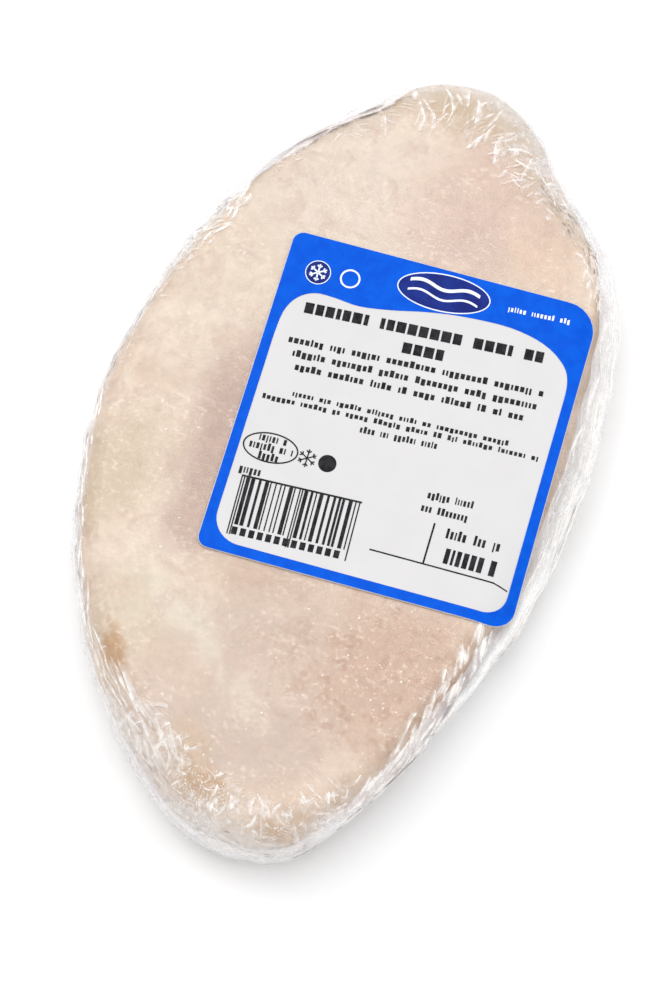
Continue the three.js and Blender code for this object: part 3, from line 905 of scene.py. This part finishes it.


# folds where the film is doubled: low ridges, bright along the crest and clear at both feet. The light ones'
# bright crest is partly the whiter doubled film and partly a painted highlight; the dark ones are painted
# shade in the fold, with the skin showing through
folds = {
    "steps": 8,
    "seed": 9,
    "lift": 0.11,  # mm off the film
    "rise": 0.08,  # mm more for each mm of width
    "least": 0.05,  # mm above the surface that the pack lies on
    "crests": [0.12, 0.2, 0.5, 0.8, 0.88],  # where across a fold its crest may lie
    "cell": 1.0,  # mm square in which no more than this many layers lie
    "layers": 3,
    "offLabel": 0.8,  # mm that the folds near the top keep away from the label
    # the light folds' white is partly doubled film and partly a painted highlight
    "light": (0.94, 0.915, 0.890),
    # painted shade in the folds, with the skin showing through
    "foldShadeAndSkin": (0.24, 0.185, 0.155),
    # zones round the rim: from and to in degrees, how many, how far down from the flat top's edge in mm,
    # length, width, lean from straight across the rim (90 runs along it), how bright and how bent
    # dark folds: painted shade in the folds, with the skin showing through
    "shadeAndSkinZones": [
        (156, 236, 60, (0.2, 2.8), (1.5, 5.0), (0.25, 0.6), (74, 104), (0.5, 0.9), 0.1),
        (98, 104, 7, (3.8, 4.6), (3.0, 6.0), (0.5, 0.8), (86, 94), (1.1, 1.6), 0.03),
        (103, 116, 14, (1.9, 2.6), (4.0, 8.0), (0.45, 0.8), (87, 93), (1.2, 1.7), 0.03),
        (288, 309, 16, (5.4, 6.6), (4.0, 8.0), (0.4, 0.7), (87, 93), (1.0, 1.5), 0.03),
        (250, 264, 14, (5.0, 9.5), (1.0, 3.0), (0.5, 1.0), (76, 100), (0.4, 0.8), 0.05),
        (264, 292, 12, (5.0, 10.0), (0.8, 2.0), (0.6, 1.1), (60, 120), (0.5, 0.9), 0.05),
        (276, 300, 14, (9.0, 13.0), (2.0, 6.0), (0.3, 0.7), (80, 100), (0.5, 0.9), 0.1),
        (330, 400, 16, (1.0, 7.0), (3.0, 9.0), (0.3, 0.6), (84, 96), (0.25, 0.5), 0.1),
        (50, 68, 44, (0.0, 3.4), (0.8, 3.4), (0.4, 0.9), (60, 100), (0.7, 1.2), 0.1),
        (128, 156, 30, (0.0, 2.6), (0.8, 2.6), (0.3, 0.7), (30, 110), (0.4, 0.8), 0.1),
    ],
    # light folds, whose bright crests are partly doubled film and partly painted highlights
    "lightZones": [
        (150, 228, 130, (0.2, 3.4), (2.0, 8.0), (0.5, 1.4), (76, 102), (0.6, 1.3), 0.08),
        (156, 240, 50, (-0.8, 1.6), (0.8, 2.4), (0.3, 0.8), (-80, 80), (0.4, 0.9), 0.1),
        (226, 247, 46, (-0.4, 2.6), (3.0, 9.0), (0.4, 1.1), (76, 92), (0.6, 1.2), 0.06),
        (242, 258, 26, (-1.2, 3.0), (7.0, 15.0), (1.2, 2.6), (70, 84), (0.6, 1.0), 0.04),
        (243, 260, 44, (0.5, 7.5), (1.5, 4.5), (0.8, 2.0), (30, 84), (0.4, 0.9), 0.12),
        (250, 290, 100, (-3.0, 4.0), (2.0, 5.0), (0.6, 1.8), (-100, 80), (0.5, 1.1), 0.14),
        (250, 290, 90, (-2.6, 6.0), (0.8, 2.2), (0.7, 2.0), (-100, 80), (0.4, 0.9), 0.4),
        (250, 290, 60, (4.0, 13.0), (3.0, 9.0), (0.8, 2.4), (70, 106), (0.4, 0.9), 0.1),
        (308, 326, 44, (-3.8, 0.4), (3.0, 6.4), (1.0, 2.4), (-80, -60), (0.6, 1.1), 0.06),
        (286, 310, 70, (-2.4, 4.4), (3.0, 6.4), (1.0, 2.4), (-80, -58), (0.6, 1.1), 0.06),
        (292, 330, 50, (2.0, 12.0), (3.0, 9.0), (1.0, 3.0), (60, 110), (0.3, 0.7), 0.1),
        (322, 405, 170, (0.4, 9.0), (4.0, 16.0), (0.7, 2.8), (82, 98), (0.3, 0.9), 0.08),
        (36, 56, 60, (-1.4, 3.0), (1.6, 5.0), (0.5, 1.5), (64, 110), (0.6, 1.2), 0.1),
        (54, 64, 26, (-1.0, 5.0), (0.8, 2.6), (0.4, 1.2), (30, 110), (0.4, 1.0), 0.1),
        (62, 74, 60, (-2.0, 5.0), (1.2, 4.6), (0.7, 2.2), (-100, 80), (0.6, 1.2), 0.1),
        (70, 104, 56, (-3.6, 5.0), (3.0, 9.0), (0.6, 2.2), (-46, 40), (0.4, 1.1), 0.08),
        (72, 110, 50, (-1.0, 6.0), (1.0, 5.0), (0.5, 1.6), (50, 120), (0.3, 0.9), 0.1),
        (102, 132, 40, (2.0, 9.0), (3.0, 11.0), (0.5, 1.6), (82, 98), (0.3, 0.8), 0.1),
        (104, 122, 24, (-2.0, 1.2), (0.8, 3.0), (0.4, 1.0), (40, 100), (0.4, 0.9), 0.1),
        (127, 143, 120, (-2.4, 3.0), (1.2, 4.4), (0.8, 2.2), (40, 110), (0.8, 1.5), 0.1),
        (140, 158, 50, (-1.4, 2.6), (1.0, 3.4), (0.3, 1.0), (20, 110), (0.4, 1.0), 0.1),
        (0, 360, 240, (8.0, 20.0), (1.5, 8.0), (0.5, 2.0), (-80, 80), (0.3, 0.9), 0.1),
    ],
}


def ridge(points, wide, crest):
    # a low ridge that tapers to a point at both ends; crest is where across it the top lies
    points = np.array(points)
    out = points - np.array([0, 0, pack["level"]])
    out[:, :2] *= 0.15
    out /= np.linalg.norm(out, axis=1)[:, None]
    along = np.gradient(points, axis=0)
    sideways = np.cross(out, along)
    sideways /= np.maximum(np.linalg.norm(sideways, axis=1), 1e-9)[:, None]
    swell = (np.sin(np.linspace(0, math.pi, len(points))) ** 0.8)[:, None] * wide
    rows = np.stack([points + sideways * swell * crest,
                     points + out * (folds["lift"] + swell * folds["rise"]),
                     points - sideways * swell * (1 - crest)], 1)
    rows[:, :, 2] = np.maximum(rows[:, :, 2], folds["least"])
    faces = []
    for k in range(len(points) - 1):
        faces += [(p, p + 3, p + 4, p + 1) for p in (3 * k, 3 * k + 1)]
    return rows.reshape(-1, 3), faces


def foldMaterial():
    material, tree, shader = newMaterial("film_folds")
    # the crest's glow is partly the white of the doubled film and partly a painted highlight
    glow = attribute(tree, "glow")
    # dark folds take a colour of painted shade, with the skin showing through
    foldShadeAndSkin = attribute(tree, "foldShadeAndSkin")
    broken = ramp(tree, noiseAt(tree, placeInMm(tree), 1.6), 0.36, 0.60, low=0.45)
    crisp = maths(tree, "POWER", glow, 1.5)
    tree.links.new(times(tree, crisp, broken, clamp=True), shader.inputs["Alpha"])
    tree.links.new(mixColours(tree, foldShadeAndSkin, folds["light"], folds["foldShadeAndSkin"]), shader.inputs["Base Color"])
    shader.inputs["Roughness"].default_value = 0.28
    return material


def addFolds():
    random = np.random.default_rng(folds["seed"])
    degrees = filmForm["degrees"]
    corners, faces, glow, foldShadeAndSkin = [], [], [], []
    count = 0
    layers = {}
    zones = [(*zone, 1.0) for zone in folds["shadeAndSkinZones"]] + [(*zone, 0.0) for zone in folds["lightZones"]]
    for first, last, number, downs, longs, wides, leans, brights, bends, shadeAndSkinShare in zones:
        for _ in range(number):
            direction = random.uniform(first, last) % 360
            nearest = int(np.argmin(np.abs((degrees - direction + 180) % 360 - 180)))
            place = (nearest + random.uniform(0, 1)) / len(degrees) * pack["around"]
            down, long = random.uniform(*downs), random.uniform(*longs)
            lean = math.radians(random.uniform(*leans))
            bend = random.uniform(-1, 1) * bends * long
            wide, bright = random.uniform(*wides), random.uniform(*brights)
            crest = random.choice(folds["crests"])
            if offLabel(*filmPoint(place, down)[:2]) < folds["offLabel"] and down < 5:
                continue
            route = []
            for share in np.linspace(0, 1, folds["steps"]):
                across = long * (share - 0.5)
                off = bend * math.sin(math.pi * share)
                route.append((place + across * math.sin(lean) + off * math.cos(lean),
                              down + across * math.cos(lean) - off * math.sin(lean)))
            cells = {(int(s // folds["cell"]), int(t // folds["cell"])) for s, t in route}
            if max(layers.get(cell, 0) for cell in cells) >= folds["layers"]:
                continue
            for cell in cells:
                layers[cell] = layers.get(cell, 0) + 1
            these, theirs = ridge([filmPoint(*at) for at in route], wide, crest)
            corners.append(these)
            faces += [tuple(count + c for c in face) for face in theirs]
            # the crest holds the painted highlight and the doubled film's white; the dark zones hold painted
            # shade and skin
            glow += [0, 0, 0] + [0, bright, 0] * (folds["steps"] - 2) + [0, 0, 0]
            foldShadeAndSkin += [shadeAndSkinShare] * len(these)
            count += len(these)
    piece = addPiece("film_folds", np.vstack(corners), faces, foldMaterial(), "wrapped_steak",
                     smooth=False)
    addValues(piece, "glow", glow)
    addValues(piece, "foldShadeAndSkin", foldShadeAndSkin)
    piece.visible_shadow = False
    return piece


foldPiece = addFolds()
print("folds made: %d faces" % len(foldPiece.data.polygons))


def dropOnto(tree, x, y):
    # where a ray straight down from above the pack meets a mesh
    return tree.ray_cast(Vector((x, y, 40)), Vector((0, 0, -1)))[0]


def labelHeights():
    # a height for each place on the label: the solid label's own bend, laid down on the film
    cell = labelSheet["cell"] / 2
    wide, long = labelSheet["wide"] / 2, labelSheet["long"] / 2
    us, vs = np.arange(-wide - 3, wide + 3.01, cell), np.arange(-long - 3, long + 3.01, cell)
    under, bend = treeOf(filmPiece.data), treeOf(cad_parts["label"].data)
    films, heights = np.zeros((len(us), len(vs))), np.zeros((len(us), len(vs)))
    for i, u in enumerate(us):
        for k, v in enumerate(vs):
            hit = dropOnto(under, *fromLabel(u, v))
            films[i, k] = hit.z if hit else 0
            near, shrink = None, 1.0
            while near is None:
                held = fromLabel(min(max(u, 0.4 - wide), wide - 0.4) * shrink,
                                 min(max(v, 0.4 - long), long - 0.4) * shrink)
                near = dropOnto(bend, *held)
                shrink -= 0.01
            heights[i, k] = near.z - labelSheet["sink"]
    for _ in range(labelSheet["smoothings"]):
        heights = np.maximum(heights, films)
        padded = np.pad(heights, 1, mode="edge")
        beside = padded[:-2, 1:-1] + padded[2:, 1:-1] + padded[1:-1, :-2] + padded[1:-1, 2:]
        heights = (beside + 2 * heights) / 6
    return us, vs, heights


labelGrid = labelHeights()


def labelPoint(u, v, lift):
    us, vs, heights = labelGrid
    a = min(max((u - us[0]) / (us[1] - us[0]), 0), len(us) - 1.001)
    b = min(max((v - vs[0]) / (vs[1] - vs[0]), 0), len(vs) - 1.001)
    i, k, p, q = int(a), int(b), a % 1, b % 1
    z = (heights[i, k] * (1 - p) * (1 - q) + heights[i + 1, k] * p * (1 - q)
         + heights[i, k + 1] * (1 - p) * q + heights[i + 1, k + 1] * p * q)
    return (*fromLabel(u, v), z + labelSheet["lift"] + lift)


def arc(centre, radius, start, end, steps=8):
    turns = [cosSin(a) for a in np.linspace(start, end, steps)]
    return [(centre[0] + radius * c, centre[1] + radius * s) for c, s in turns]


def sheetOutline(less):
    wide, long = labelSheet["wide"] / 2 - less, labelSheet["long"] / 2 - less
    left, upper, lower = (labelSheet[name] - less for name in ("radiusLeft", "radiusUpper", "radiusLower"))
    return (arc((wide - upper, long - upper), upper, 0, 90)
            + arc((left - wide, long - left), left, 90, 180)
            + arc((left - wide, left - long), left, 180, 270)
            + arc((wide - lower, lower - long), lower, 270, 360))


def spaced(loop, step):
    # the same outline with no stretch longer than step
    points = []
    for (ax, ay), (bx, by) in zip(loop, loop[1:] + loop[:1]):
        count = max(1, math.ceil(math.hypot(bx - ax, by - ay) / step))
        points += [(ax + (bx - ax) * k / count, ay + (by - ay) * k / count) for k in range(count)]
    return points


def inside(point, loop):
    x, y = point
    crossings = False
    for (ax, ay), (bx, by) in zip(loop, loop[1:] + loop[:1]):
        if (ay > y) != (by > y) and x < (bx - ax) * (y - ay) / (by - ay) + ax:
            crossings = not crossings
    return crossings


# triangles over the first outline, less the others
def fill(loops, step):
    loops = [spaced(loop, step) for loop in loops]
    points, edges = [], []
    for loop in loops:
        first = len(points)
        points += loop
        edges += [(first + k, first + (k + 1) % len(loop)) for k in range(len(loop))]
    xs, ys = zip(*loops[0])
    rim = np.array(points)
    for x in np.arange(min(xs) + step / 2, max(xs), step):
        for y in np.arange(min(ys) + step / 2, max(ys), step):
            clear = np.min(np.hypot(rim[:, 0] - x, rim[:, 1] - y)) > step * 0.45
            if clear and inside((x, y), loops[0]) and not any(inside((x, y), hole) for hole in loops[1:]):
                points.append((x, y))
    found = delaunay_2d_cdt([Vector(p) for p in points], edges, [], 0, 1e-5)
    corners = [tuple(v) for v in found[0]]
    kept = []
    for face in found[2]:
        middle = tuple(sum(corners[c][k] for c in face) / 3 for k in (0, 1))
        if inside(middle, loops[0]) and not any(inside(middle, hole) for hole in loops[1:]):
            kept.append(tuple(face))
    return corners, kept


# a closed slab over some outlines, lying on the label between two heights
def slab(loops, low, high, step=4.0):
    points, faces = fill(loops, step)
    count = len(points)
    corners = [labelPoint(*p, high) for p in points] + [labelPoint(*p, low) for p in points]
    sides = {edge: True for face in faces for edge in zip(face, face[1:] + face[:1])}
    walls = [(b, a, a + count, b + count) for a, b in sides if (b, a) not in sides]
    return corners, faces + [tuple(c + count for c in reversed(face)) for face in faces] + walls


def addPrint(name, shapes, material, low, high, step=4.0):
    corners, faces = [], []
    for loops in shapes:
        these, theirs = slab(loops, low, high, step)
        faces += [tuple(len(corners) + c for c in face) for face in theirs]
        corners += these
    return addPiece(name, corners, faces, material, "label", smooth=False)


printed = {
    # two shades of each paper or ink, the size of their clouds in mm and the roughness
    "paper": ((0.665, 0.655, 0.659), (0.648, 0.638, 0.643), 9.0, 0.45),
    "blue": ((0.0005, 0.084, 0.610), (0.001, 0.102, 0.670), 2.6, 0.42),
    "navy": ((0.010, 0.018, 0.160), (0.012, 0.030, 0.230), 3.0, 0.30),
    "pale": ((0.800, 0.870, 0.960), (0.86, 0.90, 0.97), 3.0, 0.32),
    "ink": ((0.012, 0.012, 0.015), (0.030, 0.030, 0.034), 1.2, 0.45),
    "specular": 0.05,
    "thick": 0.05,  # mm each layer of print stands up
    "border": 2.1,
    "bare": 0.14,  # mm of paper left bare round the blue
    "badge": (0.6, 28.1),
    "disc": (-23.4, 25.6),
    "ring": (-17.2, 26.0),
    "seed": 31,
}


def printMaterial(name):
    colour, other, size, roughness = printed[name]
    material, tree, shader = newMaterial("label_" + name)
    place = placeInMm(tree)
    cloud = noiseAt(tree, place, size, detail=3.0, rough=0.6, warp=0.4)
    shade = mixColours(tree, ramp(tree, cloud, 0.35, 0.65), colour, other)
    tree.links.new(shade, shader.inputs["Base Color"])
    grain = noiseAt(tree, place, 0.9, detail=3.0)
    uneven = ramp(tree, grain, 0.3, 0.7, low=roughness - 0.05, high=roughness + 0.08)
    tree.links.new(uneven, shader.inputs["Roughness"])
    tree.links.new(bumpFrom(tree, noiseAt(tree, place, 5.0), 0.25, 0.15), shader.inputs["Normal"])
    shader.inputs["Specular IOR Level"].default_value = printed["specular"]
    return material


# the white field's outline: its upper edge is a slow wave that falls into a wide round corner
def whiteField():
    border = printed["border"]
    right, left = labelSheet["wide"] / 2 - border, -labelSheet["wide"] / 2 + border
    bottom = -labelSheet["long"] / 2 + border
    wave = [(right, 11.0), (27.7, 16.6), (26.0, 20.2), (21.4, 23.3), (14.4, 24.8), (5.4, 24.5),
            (-1.4, 23.5), (-8.0, 22.0), (-14.0, 21.1), (-19.0, 21.5), (-22.8, 21.4), (-25.8, 19.6),
            (-27.5, 16.2), (left, 11.0)]
    corners = (arc((left + 5.5, bottom + 5.5), 5.5, 180, 270, 10)
               + arc((right - 4.2, bottom + 4.2), 4.2, 270, 360, 10))
    return smoothLine(wave) + corners


def smoothLine(points):
    # a curve through the points, by the Catmull-Rom rule
    padded = [points[0]] + points + [points[-1]]
    line = []
    for a, b, c, d in zip(padded, padded[1:], padded[2:], padded[3:]):
        for t in np.linspace(0, 1, 5)[:-1]:
            line.append(tuple(0.5 * (2 * b[k] + (c[k] - a[k]) * t
                                     + (2 * a[k] - 5 * b[k] + 4 * c[k] - d[k]) * t ** 2
                                     + (3 * b[k] - a[k] - 3 * c[k] + d[k]) * t ** 3) for k in (0, 1)))
    return line + [points[-1]]


def rectangle(centre, wide, high, turn=0.0):
    c, s = cosSin(turn)
    corners = [(-wide / 2, -high / 2), (wide / 2, -high / 2), (wide / 2, high / 2), (-wide / 2, high / 2)]
    return [(centre[0] + x * c - y * s, centre[1] + x * s + y * c) for x, y in corners]


def oval(centre, wide, high, turn=0.0, steps=40):
    c, s = cosSin(turn)
    around = np.linspace(0, 2 * math.pi, steps, endpoint=False)
    return [(centre[0] + wide / 2 * math.cos(a) * c - high / 2 * math.sin(a) * s,
             centre[1] + wide / 2 * math.cos(a) * s + high / 2 * math.sin(a) * c) for a in around]


# rows of small plain blocks in word-long groups, where a label has its wording: from, to, how high, a block's
# width, the gap after it, the space between groups, and whether all are equally high
rows = [
    ((-23.8, 18.1), (22.0, 20.6), 2.2, 1.66, 0.42, 1.9, True),
    ((-3.9, 15.3), (3.3, 15.7), 2.2, 1.66, 0.42, 1.9, True),
    ((-24.9, 11.0), (23.9, 13.5), 1.05, 0.74, 0.32, 1.1, False),
    ((-23.4, 8.5), (22.8, 10.6), 1.05, 0.74, 0.32, 1.1, False),
    ((-22.2, 5.9), (21.5, 7.8), 1.05, 0.76, 0.32, 1.1, False),
    ((-21.1, 0.6), (21.0, 2.1), 0.78, 0.6, 0.3, 0.9, False),
    ((-26.4, -1.3), (26.6, 0.7), 0.78, 0.6, 0.3, 0.9, False),
    ((-7.0, -2.9), (7.2, -2.2), 1.0, 0.46, 0.28, 0.9, False),
    ((-24.6, -9.3), (-19.4, -9.2), 1.15, 0.5, 0.3, 0.8, False),
    ((-26.0, -11.1), (-18.0, -10.9), 1.15, 0.5, 0.3, 0.8, False),
    ((-23.8, -12.9), (-20.2, -12.8), 1.15, 0.5, 0.3, 0.8, False),
    ((-26.4, -16.4), (-22.6, -16.3), 1.2, 0.5, 0.3, 0.9, False),
    ((8.6, -11.9), (16.8, -11.6), 1.1, 0.46, 0.28, 0.9, False),
    ((8.1, -14.6), (17.0, -14.4), 1.1, 0.46, 0.28, 0.9, False),
    ((13.9, -18.3), (24.3, -18.2), 1.5, 0.55, 0.33, 1.2, False),
    ((14.7, -22.4), (24.1, -22.4), 3.0, 0.95, 0.42, 0.9, True),
]
badgeRow = ((13.2, 28.3), (25.0, 28.9), 0.8, 0.42, 0.28, 0.9, False)


def blockRow(row, random):
    (ax, ay), (bx, by), high, block, gap, space, even = row
    length = math.hypot(bx - ax, by - ay)
    turn = math.degrees(math.atan2(by - ay, bx - ax))
    shapes = []
    at, left = 0.0, int(random.integers(3, 9))
    while at < length:
        slim = random.uniform(0, 1) < 0.25
        wide = block * (0.5 if slim else random.uniform(0.85, 1.15))
        rise = 0 if even else random.choice([0, 0, 0, 0, 0.3, -0.25]) * high
        share = (at + wide / 2) / length
        centre = (ax + (bx - ax) * share, ay + (by - ay) * share + rise / 2)
        shapes.append([rectangle(centre, wide, high + abs(rise), turn)])
        at += wide + gap
        left -= 1
        if left == 0:
            at += space
            left = int(random.integers(2, 10))
    return shapes


# a made-up bar code: seeded bars between longer guard bars, with small blocks below
code = {"left": -25.2, "right": -2.3, "top": -17.7, "foot": -27.2, "guard": -29.3, "turn": 2.2, "modules": 95}


def barCode(random):
    count = code["modules"]
    module = (code["right"] - code["left"]) / count
    c, s = cosSin(code["turn"])
    shapes = []

    def place(at, low, high, wide):
        along, middle = at - code["left"], (low + high) / 2
        centre = (code["left"] + along * c - (middle - code["foot"]) * s, middle + along * s)
        shapes.append([rectangle(centre, wide, high - low, code["turn"])])

    place((code["left"] + code["right"]) / 2, code["top"], code["top"] + 0.35, count * module)
    step = 0
    while step < count:
        guard = step < 3 or 45 <= step < 50 or step >= count - 3
        wide = 1 if guard else int(random.integers(1, 4))
        skip = 1 if guard else int(random.integers(1, 4))
        wide = min(wide, count - step)
        at = code["left"] + (step + wide / 2) * module
        place(at, code["guard"] if guard else code["foot"], code["top"], wide * module)
        step += wide + skip
    for k in range(13):
        at = code["left"] + (5.5 + 6.7 * k) * module
        place(at, code["guard"] + 0.15, code["foot"] - 0.45, 1.05)
    return shapes


def flake(centre, reach, thick):
    # six plain arms with two short twigs each
    shapes = []
    for turn in range(30, 390, 60):
        c, s = cosSin(turn)
        middle = (centre[0] + c * reach / 2, centre[1] + s * reach / 2)
        shapes.append([rectangle(middle, reach, thick, turn)])
        tip = (centre[0] + c * reach * 0.62, centre[1] + s * reach * 0.62)
        for side in (-50, 50):
            k, m = cosSin(turn + side)
            twig = (tip[0] + k * reach * 0.17, tip[1] + m * reach * 0.17)
            shapes.append([rectangle(twig, reach * 0.34, thick, turn + side)])
    return shapes


def ring(centre, wide, high, thick, turn=0.0):
    return [oval(centre, wide, high, turn), oval(centre, wide - 2 * thick, high - 2 * thick, turn)]


def waveBar(left, right, level, rise, thick):
    upper = [(left + (right - left) * t, level + rise * math.sin(2 * math.pi * 1.5 * t) + thick / 2)
             for t in np.linspace(0, 1, 25)]
    return [[(x, y - thick) for x, y in upper] + upper[::-1]]


def addLabel():
    random = np.random.default_rng(printed["seed"])
    step, top = printed["thick"], labelSheet["thick"]
    paper, blue, navy, pale, ink = [printMaterial(name) for name in ("paper", "blue", "navy", "pale", "ink")]
    sheet = addPrint("label_sheet", [[sheetOutline(0)]], paper, 0.0, top, labelSheet["cell"])
    sheet.data.shade_smooth()
    addPrint("label_field", [[sheetOutline(printed["bare"]), whiteField()]], blue,
             top - step, top + 1.6 * step, labelSheet["cell"])
    # a plain oval badge with two waves, a disc with a flake and a small ring, all generic
    badge, disc = printed["badge"], printed["disc"]
    addPrint("label_badge", [[oval(badge, 17.4, 7.2, 3.0)], [oval(disc, 4.6, 4.6)]], navy,
             top, top + 2.6 * step, 1.2)
    marks = [ring(badge, 18.0, 7.8, 0.22, 3.0), waveBar(-6.2, 7.4, 29.2, 0.55, 0.7),
             waveBar(-6.2, 7.4, 27.1, 0.55, 0.45), ring(printed["ring"], 3.9, 3.9, 0.35),
             ring(disc, 4.9, 4.9, 0.16)]
    marks += flake(disc, 1.75, 0.30) + blockRow(badgeRow, random)
    addPrint("label_marks", marks, pale, top, top + 3.4 * step, 1.2)
    # the rows, the bar code, an oval mark, a dot, a flake and three ruled lines
    black = [shape for row in rows for shape in blockRow(row, random)] + barCode(random)
    black += [ring((-22.0, -10.9), 10.6, 6.0, 0.28, 2.0), [oval((-11.0, -11.0), 3.4, 3.4)]]
    black += flake((-14.9, -11.0), 1.8, 0.24)
    black += [[rectangle((11.3, -20.9), 0.34, 8.2)], [rectangle((12.9, -25.0), 23.6, 0.28)],
              [rectangle((26.0, -25.3), 3.1, 0.26, -13.0)]]
    addPrint("label_print", black, ink, top - step, top + step, 2.0)


addLabel()
print("label made")


# frost crystals between the film and the fish
frost = {
    "seed": 4,
    "size": (0.18, 0.40),
    # where, how far they spread, and how many
    "clusters": [((-4.0, -72.4), (3.6, 1.8), 280), ((11.0, -75.6), (5.0, 1.3), 180),
                 ((-9.0, -68.0), (4.0, 2.0), 60), ((20.0, -44.0), (9.0, 10.0), 120),
                 ((30.0, -50.0), (4.0, 7.0), 50), ((34.0, 30.0), (3.0, 9.0), 50),
                 ((0.0, -20.0), (30.0, 38.0), 110)],
    "colour": (0.93, 0.93, 0.92),
    "shade": (0.82, 0.83, 0.84),
    "roughness": 0.25,
}


def frostMaterial():
    material, tree, shader = newMaterial("frost")
    cloud = noiseAt(tree, placeInMm(tree), 0.5)
    tree.links.new(mixColours(tree, cloud, frost["colour"], frost["shade"]), shader.inputs["Base Color"])
    shader.inputs["Roughness"].default_value = frost["roughness"]
    return material


def addFrost():
    random = np.random.default_rng(frost["seed"])
    flesh = treeOf(steakPiece.data)
    tips = np.array([(1, 0, 0), (-1, 0, 0), (0, 1, 0), (0, -1, 0), (0, 0, 1), (0, 0, -1)], float)
    sides = [(0, 2, 4), (2, 1, 4), (1, 3, 4), (3, 0, 4), (2, 0, 5), (1, 2, 5), (3, 1, 5), (0, 3, 5)]
    corners, faces = [], []
    for at, spread, count in frost["clusters"]:
        for _ in range(count):
            x, y = np.array(at) + random.normal(0, 1, 2) * spread
            hit = dropOnto(flesh, x, y)
            if hit is None:
                continue
            size = random.uniform(*frost["size"])
            turn = random.uniform(0, math.pi)
            c, s = math.cos(turn), math.sin(turn)
            spin = np.array([(c, -s, 0), (s, c, 0), (0, 0, 1)])
            stretch = np.array([random.uniform(0.5, 1.5), random.uniform(0.4, 1.0), random.uniform(0.3, 0.8)])
            faces += [tuple(len(corners) + c for c in side) for side in sides]
            corners += list((tips * stretch * size / 2) @ spin.T + np.array(hit))
    addPiece("frost_crystals", corners, faces, frostMaterial(), "wrapped_steak",
             smooth=False)


addFrost()
print("frost made")


def addFloor():
    look = lights["floor"]
    half = look["size"] / 2 * mm
    mesh = bpy.data.meshes.new("floor")
    corners = [(-half, -half, 0), (half, -half, 0), (half, half, 0), (-half, half, 0)]
    mesh.from_pydata(corners, [], [(0, 1, 2, 3)])
    material, tree, shader = newMaterial("pale_floor")
    shader.inputs["Base Color"].default_value = (*look["colour"], 1)
    shader.inputs["Roughness"].default_value = look["roughness"]
    shader.inputs["Specular IOR Level"].default_value = look["specular"]
    mesh.materials.append(material)
    floor = link(bpy.data.objects.new("floor", mesh))
    floor.location.z = -look["under"] * mm


addFloor()
